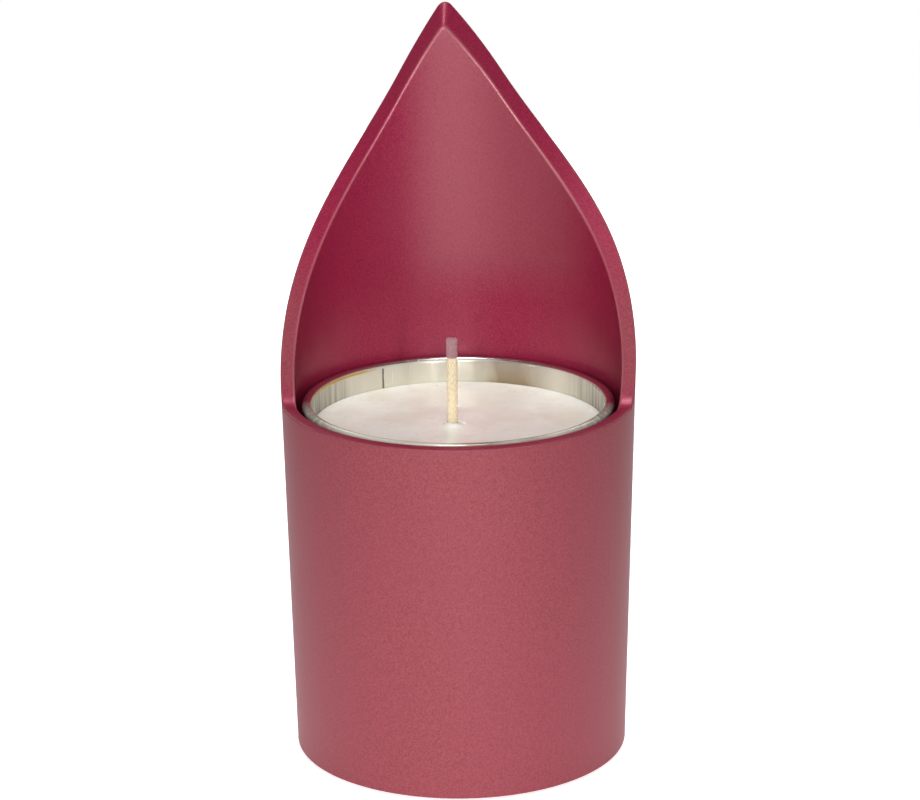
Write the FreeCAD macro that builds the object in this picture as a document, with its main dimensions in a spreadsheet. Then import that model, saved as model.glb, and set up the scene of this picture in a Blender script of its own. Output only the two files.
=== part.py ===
import FreeCAD, Part
import math
import os

import Sketcher

# A free-standing sanctuary lamp. A thick-walled metal tube, a little wider at the top, is cut
# low across its front and left standing at the back as one pointed flame. A refill candle in a
# sheet-metal tin stands in the tube: a seamed body with a curled rim, a seamed-on end, wax, and
# a cored wick held by a metal tab.
#
# Millimetres. +Z is up, the flame stands at the back (+Y), and the origin is the middle of the
# pad that the lamp stands on.

DIMENSIONS = [
    # the tube, outside
    ("tube_bottom", 0.5, "height of the tube's lower edge"),
    ("base_radius", 33.36, "outer radius at the lower edge"),
    ("rim_radius", 35.0, "outer radius at the front rim"),
    ("rim_height", 72.3, "height of the level front rim"),
    ("crown_height", 150.0, "height of the uncut tube, above the flame's tip"),
    ("foot_round", 0.5, "rounding of the lower outer edge"),
    # the tube, inside
    ("bore_radius", 32.3, "straight bore, from the top down to where it starts to narrow"),
    ("narrowing_height", 50.0, "where the bore starts to narrow"),
    ("seat_radius", 31.3, "bore where the candle stands"),
    ("floor_height", 6.0, "height of the face that the candle stands on"),
    ("disc_radius", 31.9, "recess that takes the base disc"),
    # the flame: the tube's back, cut along a slope that rises towards +Y
    ("cut_slope", 1.145, "rise of the cutting direction per unit towards the back"),
    ("shoulder_level", 79.5, "level shoulders of the flame's outline"),
    ("apex_level", 104.34, "where the two flanks would meet"),
    ("apex_shift", 3.76, "how far the apex leans to the left"),
    ("left_foot", 22.7, "where the left flank would meet its shoulder"),
    ("right_foot", 17.48, "where the right flank would meet its shoulder"),
    ("shoulder_round", 34.8, "hollow round from each shoulder to its flank"),
    ("tip_round", 2.2, "blunting of the tip"),
    ("outline_half_width", 45.0, "half width of the cut, past the tube"),
    ("outline_top", 260.0, "upper limit of the cut, past the tube"),
    ("cut_reach", 120.0, "length of the cut, past the tube"),
    ("edge_break", 0.45, "bevel along the inner edge of the cut and of the rim"),
    # the base
    ("disc_bottom", 1.5, "underside of the base disc"),
    ("disc_lead", 0.6, "bevel that leads the disc into its recess"),
    ("pad_radius", 27.0, "round pad under the base disc"),
    # the tin
    ("tin_radius", 29.0, "inside of the tin"),
    ("sheet", 0.25, "thickness of the tin's sheet metal"),
    ("curl_radius", 1.0, "outside of the curled rim"),
    ("curl_height", 71.1, "middle of the curled rim"),
    ("curl_end_angle", 70.0, "how far below level the curl's free edge comes round"),
    ("lap_width", 4.0, "width of the side seam's lap"),
    ("lap_angle", 124.5, "where the side seam runs, from +X"),
    ("lap_margin", 3.0, "bare wall above and below the lap"),
    ("seam_radius", 30.4, "outside of the bottom double seam"),
    ("seam_height", 3.0, "height of the bottom double seam"),
    ("hook_radius", 29.8, "outside of the body's hook, inside the seam"),
    ("hook_height", 2.0, "top of the body's hook above the tin's underside"),
    ("hook_start", 0.5, "underside of the body's hook above the tin's underside"),
    ("panel_height", 3.4, "top of the end's panel above the tin's underside"),
    ("seam_gap", 0.05, "room between the parts of the seam"),
    # the filling and the wick
    ("wax_height", 66.5, "wax surface"),
    ("wax_climb", 0.5, "how far the wax climbs the wall and the wick"),
    ("wick_shift", -1.2, "how far the wick stands off the axis along X"),
    ("wick_radius", 1.15, "outside of the braid"),
    ("core_radius", 0.4, "stiffening core of the wick"),
    ("wick_top", 84.3, "top of the wick"),
    ("core_inset", 0.3, "how far the core ends below the braid"),
    ("tab_radius", 10.0, "flange of the wick tab"),
    ("neck_radius", 1.4, "outside of the tab's crimped neck"),
    ("neck_height", 4.0, "height of the tab's neck above the flange"),
]

document = FreeCAD.newDocument("sanctuary_lamp")
sheet = document.addObject("Spreadsheet::Sheet", "dims")
for row, (alias, number, meaning) in enumerate(DIMENSIONS, start=1):
    sheet.set(f"A{row}", alias)
    sheet.set(f"B{row}", str(number))
    sheet.setAlias(f"B{row}", alias)
    sheet.set(f"C{row}", meaning)
document.recompute()

size = {alias: number for alias, number, meaning in DIMENSIONS}

SKETCH_START = 1
SKETCH_END = 2
SKETCH_CENTRE = 3
ORIGIN = (-1, 1)
LEVEL_AXIS = -1
UPRIGHT_AXIS = -2
FULL_TURN = 360.0
NEARLY_UPRIGHT = 0.99
TOLERANCE = 0.01
EDGE_SAMPLES = 9


def new_body(label):
    body = document.addObject("PartDesign::Body", label)
    body.Label = label
    return body


def new_sketch(body, name, role):
    """A sketch on one of the body's own origin planes."""
    sketch = body.newObject("Sketcher::SketchObject", name)
    plane = next(item for item in body.Origin.OriginFeatures if item.Role == role)
    sketch.AttachmentSupport = [(plane, "")]
    sketch.MapMode = "FlatFace"
    return sketch


def drive(sketch, constraint, expression):
    """Add a dimension to the sketch and bind it to the sheet."""
    number = sketch.addConstraint(constraint)
    sketch.setExpression(f"Constraints[{number}]", expression)


def pin_coordinate(sketch, kind, axis, vertex, value, expression):
    """Hold one coordinate of a vertex, on the axis where it is zero."""
    if value == 0:
        sketch.addConstraint(Sketcher.Constraint("PointOnObject", *vertex, axis))
    elif value > 0:
        drive(sketch, Sketcher.Constraint(kind, *ORIGIN, *vertex, value), expression)
    else:
        drive(sketch, Sketcher.Constraint(kind, *vertex, *ORIGIN, -value), f"-({expression})")


def pin_vertex(sketch, vertex, point, across, up):
    pin_coordinate(sketch, "DistanceX", UPRIGHT_AXIS, vertex, point.x, across)
    pin_coordinate(sketch, "DistanceY", LEVEL_AXIS, vertex, point.y, up)


def located(sketch, across, up):
    """The point that two expressions on the sheet give, in the sketch's plane."""
    return FreeCAD.Vector(sketch.evalExpression(across), sketch.evalExpression(up), 0)


def outline(body, name, role, corners):
    """A closed outline of straight lines whose corners are pairs of expressions."""
    sketch = new_sketch(body, name, role)
    points = [located(sketch, across, up) for across, up in corners]
    count = len(points)
    for index in range(count):
        sketch.addGeometry(Part.LineSegment(points[index], points[(index + 1) % count]))
    for index in range(count):
        following = (index + 1) % count
        sketch.addConstraint(
            Sketcher.Constraint("Coincident", index, SKETCH_END, following, SKETCH_START)
        )
    for index, (across, up) in enumerate(corners):
        pin_vertex(sketch, (index, SKETCH_START), points[index], across, up)
    return sketch


def circles(body, name, across, radii):
    """Circles round one centre on the level plane's X axis."""
    sketch = new_sketch(body, name, "XY_Plane")
    centre = located(sketch, across, "0")
    for index, radius in enumerate(radii):
        number = sketch.evalExpression(radius)
        sketch.addGeometry(Part.Circle(centre, FreeCAD.Vector(0, 0, 1), number))
        pin_vertex(sketch, (index, SKETCH_CENTRE), centre, across, "0")
        drive(sketch, Sketcher.Constraint("Radius", index, number), radius)
    return sketch


def turn(body, name, sketch):
    """Revolve an outline round the Z axis."""
    feature = body.newObject("PartDesign::Revolution", name)
    feature.Profile = sketch
    feature.ReferenceAxis = (sketch, ["V_Axis"])
    feature.Angle = FULL_TURN
    body.Tip = feature
    return feature


def turned_body(label, corners):
    """A body that is one revolved outline of straight lines."""
    body = new_body(label)
    turn(body, f"{label}_turned", outline(body, f"{label}_section", "XZ_Plane", corners))
    return body


def raised(body, name, sketch, length, start):
    """Pad a sketch of the level plane upwards from a height above it."""
    sketch.setExpression("AttachmentOffset.Base.z", start)
    feature = body.newObject("PartDesign::Pad", name)
    feature.Profile = sketch
    feature.setExpression("Length", length)
    body.Tip = feature
    return feature


def is_wall(face):
    """True for a face that runs round the Z axis."""
    turned = isinstance(face.Surface, (Part.Cylinder, Part.Cone))
    return turned and abs(face.Surface.Axis.z) > NEARLY_UPRIGHT


def corner_edges(shape, radius, lowest):
    """Names of the edges at a radius round the Z axis where a wall ends, from a height upwards."""
    names = []
    for number, edge in enumerate(shape.Edges, start=1):
        samples = edge.discretize(EDGE_SAMPLES)
        near = all(abs(math.hypot(point.x, point.y) - radius) < TOLERANCE for point in samples)
        high = all(point.z > lowest - TOLERANCE for point in samples)
        beside = [face for face in shape.Faces if any(edge.isSame(side) for side in face.Edges)]
        if near and high and not all(is_wall(face) for face in beside):
            names.append(f"Edge{number}")
    return names


# ---------------------------------------------------------------- the holder

def slanted_edges(shape, corners):
    """Names of the edges that run along the cut through the given corners of its outline."""
    names = []
    for number, edge in enumerate(shape.Edges, start=1):
        ends = [vertex.Point for vertex in edge.Vertexes]
        levels = [point.z - size["cut_slope"] * point.y for point in ends]
        for across, level in corners:
            beside = all(abs(point.x - across) < TOLERANCE for point in ends)
            on_level = all(abs(found - level) < TOLERANCE for found in levels)
            if beside and on_level:
                names.append(f"Edge{number}")
    return names


def rounded(body, name, edges, radius):
    """Fillet edges of the body's shape so far."""
    base = body.Tip
    feature = body.newObject("PartDesign::Fillet", name)
    feature.Base = (base, edges)
    feature.setExpression("Radius", radius)
    body.Tip = feature
    return feature


def bevelled(body, name, edges, width):
    """Chamfer edges of the body's shape so far."""
    base = body.Tip
    feature = body.newObject("PartDesign::Chamfer", name)
    feature.Base = (base, edges)
    feature.setExpression("Size", width)
    body.Tip = feature
    return feature


def make_flame_cutter():
    """The block of space above the rim and outside the flame, swept along the cut's slope."""
    body = new_body("flame_cutter")
    section = outline(body, "flame_outline", "XZ_Plane", [
        ("-dims.outline_half_width", "dims.shoulder_level"),
        ("-dims.left_foot", "dims.shoulder_level"),
        ("-dims.apex_shift", "dims.apex_level"),
        ("dims.right_foot", "dims.shoulder_level"),
        ("dims.outline_half_width", "dims.shoulder_level"),
        ("dims.outline_half_width", "dims.outline_top"),
        ("-dims.outline_half_width", "dims.outline_top"),
    ])
    block = body.newObject("PartDesign::Pad", "flame_block")
    block.Profile = section
    block.UseCustomVector = True
    block.Direction = FreeCAD.Vector(0, 1, size["cut_slope"])
    block.SideType = "Symmetric"
    block.setExpression("Length", "dims.cut_reach")
    body.Tip = block
    document.recompute()

    shoulders = [(-size["left_foot"], size["shoulder_level"]),
                 (size["right_foot"], size["shoulder_level"])]
    apex = [(-size["apex_shift"], size["apex_level"])]
    rounded(body, "flame_hollows", slanted_edges(body.Shape, shoulders), "dims.shoulder_round")
    document.recompute()
    rounded(body, "flame_tip", slanted_edges(body.Shape, apex), "dims.tip_round")
    document.recompute()

    below = outline(body, "below_rim", "XZ_Plane", [
        ("-dims.outline_top", "dims.rim_height"),
        ("-dims.outline_top", "-dims.outline_top"),
        ("dims.outline_top", "-dims.outline_top"),
        ("dims.outline_top", "dims.rim_height"),
    ])
    trim = body.newObject("PartDesign::Pocket", "trim_at_rim")
    trim.Profile = below
    trim.Type = "ThroughAll"
    trim.SideType = "Symmetric"
    body.Tip = trim
    document.recompute()
    return body


def make_holder_tube():
    """The tube with its flame: a tall tapered tube, less the space that the cutter takes."""
    widening = "(dims.rim_radius - dims.base_radius) / (dims.rim_height - dims.tube_bottom)"
    crown_radius = f"dims.base_radius + (dims.crown_height - dims.tube_bottom) * {widening}"
    body = turned_body("holder_tube", [
        ("dims.base_radius", "dims.tube_bottom"),
        (crown_radius, "dims.crown_height"),
        ("dims.bore_radius", "dims.crown_height"),
        ("dims.bore_radius", "dims.narrowing_height"),
        ("dims.seat_radius", "dims.floor_height"),
        ("dims.disc_radius", "dims.floor_height"),
        ("dims.disc_radius", "dims.tube_bottom"),
    ])
    cutter = make_flame_cutter()
    cut = body.newObject("PartDesign::Boolean", "flame_cut")
    cut.setObjects([cutter])
    cut.Type = "Cut"
    body.Tip = cut
    document.recompute()

    foot = corner_edges(body.Shape, size["base_radius"], size["tube_bottom"])
    rounded(body, "foot_rounding", foot, "dims.foot_round")
    document.recompute()
    inner = corner_edges(body.Shape, size["bore_radius"], size["rim_height"])
    bevelled(body, "inner_bevel", inner, "dims.edge_break")
    document.recompute()
    return body


def make_base_disc():
    """The floor of the holder, pressed up against the shoulder of its recess."""
    return turned_body("base_disc", [
        ("0", "dims.disc_bottom"),
        ("dims.disc_radius", "dims.disc_bottom"),
        ("dims.disc_radius", "dims.floor_height - dims.disc_lead"),
        ("dims.disc_radius - dims.disc_lead", "dims.floor_height"),
        ("0", "dims.floor_height"),
    ])


def make_base_pad():
    """The soft pad that the lamp stands on, stuck under the base disc."""
    return turned_body("base_pad", [
        ("0", "0"),
        ("dims.pad_radius", "0"),
        ("dims.pad_radius", "dims.disc_bottom"),
        ("0", "dims.disc_bottom"),
    ])


# ---------------------------------------------------------------- the candle's tin

def curl_outline(body):
    """The body's wall with its rim curled outwards and its lower edge hooked into the seam."""
    sketch = new_sketch(body, "tin_section", "XZ_Plane")
    middle_x = "dims.tin_radius + dims.curl_radius"
    outer = "dims.curl_radius"
    inner = "dims.curl_radius - dims.sheet"
    hook_low = "dims.floor_height + dims.hook_start"
    hook_top = "dims.floor_height + dims.hook_height"
    middle = located(sketch, middle_x, "dims.curl_height")
    end = math.radians(-size["curl_end_angle"])
    upward = FreeCAD.Vector(0, 0, 1)
    outer_arc = Part.Circle(middle, upward, size["curl_radius"])
    inner_arc = Part.Circle(middle, upward, size["curl_radius"] - size["sheet"])
    outside = sketch.addGeometry(Part.ArcOfCircle(outer_arc, end, math.pi))
    inside = sketch.addGeometry(Part.ArcOfCircle(inner_arc, end, math.pi))

    # from the inside of the curl down the inner wall, round the hook and up the outer wall
    corners = [
        ("dims.tin_radius", "dims.curl_height"),
        ("dims.tin_radius", hook_low),
        ("dims.hook_radius", hook_low),
        ("dims.hook_radius", hook_top),
        ("dims.hook_radius - dims.sheet", hook_top),
        ("dims.hook_radius - dims.sheet", f"{hook_low} + dims.sheet"),
        ("dims.tin_radius + dims.sheet", f"{hook_low} + dims.sheet"),
        ("dims.tin_radius + dims.sheet", "dims.curl_height"),
    ]
    points = [located(sketch, across, up) for across, up in corners]
    lines = [
        sketch.addGeometry(Part.LineSegment(points[index], points[index + 1]))
        for index in range(len(points) - 1)
    ]
    edge = sketch.addGeometry(Part.LineSegment(
        sketch.Geometry[inside].StartPoint, sketch.Geometry[outside].StartPoint
    ))

    def join(first, first_end, second, second_end):
        sketch.addConstraint(
            Sketcher.Constraint("Coincident", first, first_end, second, second_end)
        )

    join(outside, SKETCH_END, lines[0], SKETCH_START)
    for index in range(len(lines) - 1):
        join(lines[index], SKETCH_END, lines[index + 1], SKETCH_START)
    join(lines[-1], SKETCH_END, inside, SKETCH_END)
    join(inside, SKETCH_START, edge, SKETCH_START)
    join(edge, SKETCH_END, outside, SKETCH_START)

    for index in range(1, len(corners) - 1):
        across, up = corners[index]
        pin_vertex(sketch, (lines[index], SKETCH_START), points[index], across, up)
    pin_vertex(sketch, (outside, SKETCH_CENTRE), middle, middle_x, "dims.curl_height")
    join(outside, SKETCH_CENTRE, inside, SKETCH_CENTRE)
    drive(sketch, Sketcher.Constraint("Radius", outside, size["curl_radius"]), outer)
    drive(sketch, Sketcher.Constraint(
        "Radius", inside, size["curl_radius"] - size["sheet"]), inner)
    for vertex in ((outside, SKETCH_END), (inside, SKETCH_END)):
        pin_coordinate(
            sketch, "DistanceY", LEVEL_AXIS, vertex, size["curl_height"], "dims.curl_height"
        )
    return sketch


def make_tin_body():
    """The tin's wall, with the lap of its side seam on the outside."""
    body = new_body("tin_body")
    turn(body, "tin_turned", curl_outline(body))
    document.recompute()
    lap = outline(body, "lap_section", "XY_Plane", [
        ("dims.tin_radius + dims.sheet / 2", "-dims.lap_width / 2"),
        ("dims.tin_radius + 2 * dims.sheet", "-dims.lap_width / 2"),
        ("dims.tin_radius + 2 * dims.sheet", "dims.lap_width / 2"),
        ("dims.tin_radius + dims.sheet / 2", "dims.lap_width / 2"),
    ])
    raised(
        body, "side_seam", lap,
        "dims.curl_height - dims.floor_height - dims.seam_height - 2 * dims.lap_margin",
        "dims.floor_height + dims.seam_height + dims.lap_margin",
    )
    body.setExpression("Placement.Rotation.Angle", "dims.lap_angle * 1deg")
    return body


def make_tin_end():
    """The tin's bottom: a raised panel whose edge wraps the body's hook."""
    low = "dims.floor_height"
    wall = "dims.tin_radius - dims.seam_gap"
    return turned_body("tin_end", [
        ("0", f"{low} + dims.panel_height - dims.sheet"),
        (f"{wall} - dims.sheet", f"{low} + dims.panel_height - dims.sheet"),
        (f"{wall} - dims.sheet", low),
        ("dims.seam_radius", low),
        ("dims.seam_radius", f"{low} + dims.seam_height"),
        ("dims.tin_radius + dims.sheet + dims.seam_gap", f"{low} + dims.seam_height"),
        ("dims.tin_radius + dims.sheet + dims.seam_gap",
         f"{low} + dims.seam_height - dims.sheet"),
        ("dims.seam_radius - dims.sheet", f"{low} + dims.seam_height - dims.sheet"),
        ("dims.seam_radius - dims.sheet", f"{low} + dims.sheet"),
        (wall, f"{low} + dims.sheet"),
        (wall, f"{low} + dims.panel_height"),
        ("0", f"{low} + dims.panel_height"),
    ])


def make_seam_compound():
    """The soft ring that seals the double seam, between the hook and the end's outer wall."""
    return turned_body("seam_compound", [
        ("dims.hook_radius", "dims.floor_height + dims.sheet"),
        ("dims.seam_radius - dims.sheet", "dims.floor_height + dims.sheet"),
        ("dims.seam_radius - dims.sheet",
         "dims.floor_height + dims.seam_height - dims.sheet"),
        ("dims.hook_radius", "dims.floor_height + dims.seam_height - dims.sheet"),
    ])


# ---------------------------------------------------------------- wax and wick

def make_wax():
    """The wax, with a low climb at the wall, cast round the wick and its tab."""
    panel = "dims.floor_height + dims.panel_height"
    body = turned_body("wax", [
        ("0", panel),
        ("dims.tin_radius - dims.seam_gap", panel),
        ("dims.tin_radius - dims.seam_gap", "dims.wax_height + dims.wax_climb"),
        ("dims.tin_radius - dims.seam_gap - dims.wax_climb",
         "dims.wax_height + dims.wax_climb / 4"),
        ("dims.tin_radius - dims.seam_gap - 3 * dims.wax_climb", "dims.wax_height"),
        ("0", "dims.wax_height"),
    ])
    document.recompute()
    hollows = [
        ("tab_seat", "dims.tab_radius", panel, f"{panel} + dims.sheet"),
        ("neck_seat", "dims.neck_radius", panel, f"{panel} + dims.neck_height"),
        ("wick_bore", "dims.wick_radius", panel, "dims.wax_height + dims.wax_climb"),
    ]
    for name, radius, low, high in hollows:
        section = circles(body, f"{name}_section", "dims.wick_shift", [radius])
        section.setExpression("AttachmentOffset.Base.z", low)
        pocket = body.newObject("PartDesign::Pocket", name)
        pocket.Profile = section
        pocket.Reversed = True
        pocket.setExpression("Length", f"{high} - ({low})")
        body.Tip = pocket
        document.recompute()
    return body


def make_wick_tab():
    """The metal foot of the wick: a thin flange with a neck crimped on the braid."""
    panel = "dims.floor_height + dims.panel_height"
    body = turned_body("wick_tab", [
        ("dims.wick_radius", panel),
        ("dims.tab_radius", panel),
        ("dims.tab_radius", f"{panel} + dims.sheet"),
        ("dims.neck_radius", f"{panel} + dims.sheet"),
        ("dims.neck_radius", f"{panel} + dims.neck_height"),
        ("dims.wick_radius", f"{panel} + dims.neck_height"),
    ])
    body.setExpression("Placement.Base.x", "dims.wick_shift")
    return body


def make_wick_braid():
    panel = "dims.floor_height + dims.panel_height"
    body = new_body("wick_braid")
    section = circles(body, "braid_section", "0", ["dims.wick_radius", "dims.core_radius"])
    raised(body, "braid", section, f"dims.wick_top - ({panel})", panel)
    body.setExpression("Placement.Base.x", "dims.wick_shift")
    return body


def make_wick_core():
    panel = "dims.floor_height + dims.panel_height"
    body = new_body("wick_core")
    section = circles(body, "core_section", "0", ["dims.core_radius"])
    raised(body, "core", section, f"dims.wick_top - dims.core_inset - ({panel})", panel)
    body.setExpression("Placement.Base.x", "dims.wick_shift")
    return body


# ---------------------------------------------------------------- build and write

SUB_PARTS = [
    make_holder_tube(),
    make_base_disc(),
    make_base_pad(),
    make_tin_body(),
    make_tin_end(),
    make_seam_compound(),
    make_wax(),
    make_wick_tab(),
    make_wick_braid(),
    make_wick_core(),
]
document.recompute()

for item in document.Objects:
    if "Invalid" in item.State or "Error" in item.State:
        raise RuntimeError(f"{item.Name} failed: {item.State}")
for body in SUB_PARTS:
    if body.Shape.isNull() or not body.Shape.isValid():
        raise RuntimeError(f"{body.Label} has no valid shape")

os.makedirs("parts", exist_ok=True)
for body in SUB_PARTS:
    body.Shape.exportStep(f"parts/{body.Label}.step")
    print(f"{body.Label}: {len(body.Shape.Solids)} solid, {body.Shape.Volume:.1f} mm3")
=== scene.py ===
import math
import random

import bmesh
import bpy
from mathutils import Matrix, Vector
from mathutils.noise import noise as noise_at


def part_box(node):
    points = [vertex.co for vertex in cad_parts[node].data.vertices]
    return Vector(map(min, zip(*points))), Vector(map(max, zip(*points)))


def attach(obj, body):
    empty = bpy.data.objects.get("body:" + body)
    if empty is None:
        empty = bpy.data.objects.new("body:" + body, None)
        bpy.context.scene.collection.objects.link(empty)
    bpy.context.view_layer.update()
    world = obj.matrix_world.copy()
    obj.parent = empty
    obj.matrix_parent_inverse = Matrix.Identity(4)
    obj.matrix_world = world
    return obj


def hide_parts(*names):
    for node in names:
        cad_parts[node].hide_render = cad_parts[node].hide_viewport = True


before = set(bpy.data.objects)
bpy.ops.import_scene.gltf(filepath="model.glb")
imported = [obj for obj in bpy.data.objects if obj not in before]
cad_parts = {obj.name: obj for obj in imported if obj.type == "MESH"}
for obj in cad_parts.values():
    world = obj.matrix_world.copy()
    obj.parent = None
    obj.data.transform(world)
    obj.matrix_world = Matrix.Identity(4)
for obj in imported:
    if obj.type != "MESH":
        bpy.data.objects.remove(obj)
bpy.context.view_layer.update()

MM = 0.001
TURN = 2 * math.pi
random.seed(7)

SURFACE_MARK = "surface_mark"
MERGE_DISTANCE = 1e-7

# ------------------------------------------------------------------ places, from the frame

TUBE_LOW, TUBE_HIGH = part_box("holder_tube")
DISC_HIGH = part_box("base_disc")[1]
PAD_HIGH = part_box("base_pad")[1]
TIN_LOW, TIN_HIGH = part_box("tin_body")
WAX_LOW, WAX_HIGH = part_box("wax")
WICK_LOW, WICK_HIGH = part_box("wick_braid")

# ------------------------------------------------------------------ the holder and its flame

BASE_RADIUS = 33.36 * MM  # outside of the tube at its foot
RIM_RADIUS = 35.0 * MM  # outside at the level front rim
RIM_HEIGHT = 72.3 * MM
BORE_RADIUS = 32.3 * MM  # inside, from the rim down
NARROWING_HEIGHT = 50.0 * MM  # below this the bore narrows
SEAT_RADIUS = 31.3 * MM  # inside at the floor
CUT_SLOPE = 1.145  # rise of the cut for its length towards the back
SHOULDER_LEVEL = 79.5 * MM  # height over the axis where the hollow shoulders end
APEX_LEVEL = 104.34 * MM  # height over the axis where the flanks would meet
APEX_PLACE = -3.76 * MM  # the tip stands a little to the left
LEFT_RUN = 18.94 * MM  # width of a flank, from the tip to its shoulder
RIGHT_RUN = 21.24 * MM
SHOULDER_ROUND = 34.8 * MM  # radius of the hollow shoulders
TIP_ROUND_OUTSIDE = 2.4 * MM  # the tip on the outside of the wall
TIP_ROUND_INSIDE = 1.4 * MM  # the tip on the inside of the wall
INNER_ROUND = 0.5 * MM
OUTER_ROUND = 0.25 * MM
FOOT_ROUND = 0.5 * MM
CREASE_SOFTNESS = 0.55 * MM  # how much the crease between flame and rim is filled
FACE_CUTS = 5  # pieces across the cut face
WALL_BLEND = 8 * MM  # softens the bend where the bore starts to narrow

# ------------------------------------------------------------------ the lacquer

LACQUER_GRAIN = 3000  # grains to the metre
RIDGE_WIDTH = 0.15 * MM  # half the width of the painted highlight line on the tip's ridge
RIDGE_MARGIN = 0.1 * MM
RIDGE_HIGHLIGHT = 0.4
# the painted highlight along the inner edge, partly worn lacquer, low and high up the flame
EDGE_HIGHLIGHT_AND_WEAR_LOW = 1.6
EDGE_HIGHLIGHT_AND_WEAR_HIGH = 0.4
DEEP_TONE_DEPTH = 0.15 * MM  # the outer tone ends this far in from the outside
SHEEN_FIELD_LOW, SHEEN_FIELD_HIGH = 84 * MM, 94 * MM  # the field of painted sheen behind the candle's flame, standing in for a reflection
SHEEN_FIELD_LEFT, SHEEN_FIELD_RIGHT = -13 * MM, 28 * MM
SHEEN_FIELD_SIDE = 8 * MM
SHEEN_BAND_LOW = RIM_HEIGHT + 1 * MM  # the painted sheen on the cut face, up from the creases
SHEEN_BAND_FULL = RIM_HEIGHT + 4 * MM
SHEEN_BAND_FADING, SHEEN_BAND_END = 84 * MM, 100 * MM

# ------------------------------------------------------------------ the candle

TIN_RADIUS = 29.0 * MM
SHEET = 0.25 * MM
CURL_RADIUS = 1.0 * MM  # outside of the curled rim
CURL_HEIGHT = TIN_HIGH.z - CURL_RADIUS
CURL_END = math.radians(-70)
WALL_OUT = TIN_RADIUS + SHEET
HOOK_RADIUS = 29.8 * MM
HOOK_RISE = 1.5 * MM
TAN_REFLECTION_LEFT, TAN_REFLECTION_LEFT_FADE = -1 * MM, 4 * MM  # the painted tan reflection on the inside of the wall
TAN_REFLECTION_RIGHT, TAN_REFLECTION_RIGHT_FADE = 19 * MM, 6 * MM
LIP_HEIGHT = 0.6 * MM  # the brassy line under the rim
LIP_LEFT, LIP_RIGHT = -21 * MM, -17 * MM
RIM_CREAM_FRONT, RIM_CREAM_BACK = -12 * MM, -2 * MM  # cream film painted over the front of the rim, in place of its metal reflection
LAP_ANGLE = math.radians(124.5)  # where the side seam stands
LAP_WIDTH = 4.0 * MM
LAP_LOW = 12.0 * MM
LAP_HIGH = CURL_HEIGHT - 3.0 * MM
GROOVE_WIDTH = 0.22 * MM  # the groove of the side seam, inside the wall
GROOVE_DEPTH = 0.16 * MM
WAX_CLIMB = 0.5 * MM  # how far the wax climbs at the wall
WAX_CLIMB_REACH = 1.6 * MM
WICK_CLIMB = 0.9 * MM  # how far the wax climbs at the wick
WICK_CLIMB_REACH = 0.8 * MM
MELT_DIP = 0.25 * MM  # the hollow round the wick
MELT_DIP_REACH = 10 * MM
RIPPLES = ((0.05 * MM, 7 * MM), (0.012 * MM, 1.8 * MM))  # height and size, large then small
WAX_LEVEL = WAX_HIGH.z - WAX_CLIMB
WICK_PLACE = Vector(((WICK_LOW.x + WICK_HIGH.x) / 2, 0))
WICK_RADIUS = (WICK_HIGH.x - WICK_LOW.x) / 2
NECK_RADIUS = 1.4 * MM  # the crimped neck of the wick's tab
NECK_RISE = 4.0 * MM
TAB_RADIUS = 10.0 * MM  # the foot of the wick's tab
DYED_LENGTH = 4.0 * MM

# ------------------------------------------------------------------ the camera and the lights

CAMERA_PLACE = (0.02713, -0.60913, 0.25477)
CAMERA_TARGET = (0, 0, 0.0705)
CAMERA_ROLL = math.radians(-0.558)
CAMERA_LENS = 125.69
CAMERA_SHIFT = (0.0018, 0.0061)
LIGHT_AIM = (0, 0, 0.08)
ROOM_LIGHT = 0.08
FLOOR_GLOW = 0.65


# ------------------------------------------------------------------ mesh helpers

def add_object(name, data):
    """An object in the scene, holding the mesh, light or camera data."""
    item = bpy.data.objects.new(name, data)
    bpy.context.scene.collection.objects.link(item)
    return item


def finish_piece(name, mesh, work, body, material):
    """Move the bmesh into the mesh, and make it a smooth piece that rides on a body."""
    bmesh.ops.recalc_face_normals(work, faces=work.faces)
    work.to_mesh(mesh)
    work.free()
    mesh.polygons.foreach_set("use_smooth", [True] * len(mesh.polygons))
    mesh.materials.append(material)
    piece = add_object(name, mesh)
    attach(piece, body)
    return piece


def add_mesh(name, vertices, faces, body, material, marks=None):
    """A closed mesh on a body; marks are a share for each vertex that its material reads."""
    mesh = bpy.data.meshes.new(name)
    mesh.from_pydata(vertices, [], faces)
    if marks:
        mesh.attributes.new(SURFACE_MARK, "FLOAT", "POINT").data.foreach_set("value", marks)
    work = bmesh.new()
    work.from_mesh(mesh)
    bmesh.ops.remove_doubles(work, verts=work.verts, dist=MERGE_DISTANCE)
    return finish_piece(name, mesh, work, body, material)


def grid_faces(columns, rows):
    """Quads between neighbouring columns of points; the columns close into a ring."""
    faces = []
    for column in range(columns):
        following = (column + 1) % columns
        for row in range(rows - 1):
            faces.append((
                column * rows + row,
                following * rows + row,
                following * rows + row + 1,
                column * rows + row + 1,
            ))
    return faces


def softened(points, reaches, steps=4):
    """A section with curves for corners; each reach is (before, after) its corner, or (0, 0)."""
    result = [Vector(points[0])]
    for before, corner, after, reach in zip(points, points[1:], points[2:], reaches):
        corner = Vector(corner)
        first = corner + (Vector(before) - corner).normalized() * reach[0]
        last = corner + (Vector(after) - corner).normalized() * reach[1]
        if reach[0] == 0:
            result.append(corner)
            continue
        for step in range(steps + 1):
            share = step / steps
            near, far = first.lerp(corner, share), corner.lerp(last, share)
            result.append(near.lerp(far, share))
    result.append(Vector(points[-1]))
    return result


def divided(section, longest, count):
    """The section with every stretch over the longest length cut into the same count."""
    result = []
    for first, second in zip(section, section[1:]):
        pieces = count if (second - first).length > longest else 1
        result += [first.lerp(second, step / pieces) for step in range(pieces)]
    return result + [section[-1]]


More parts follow.
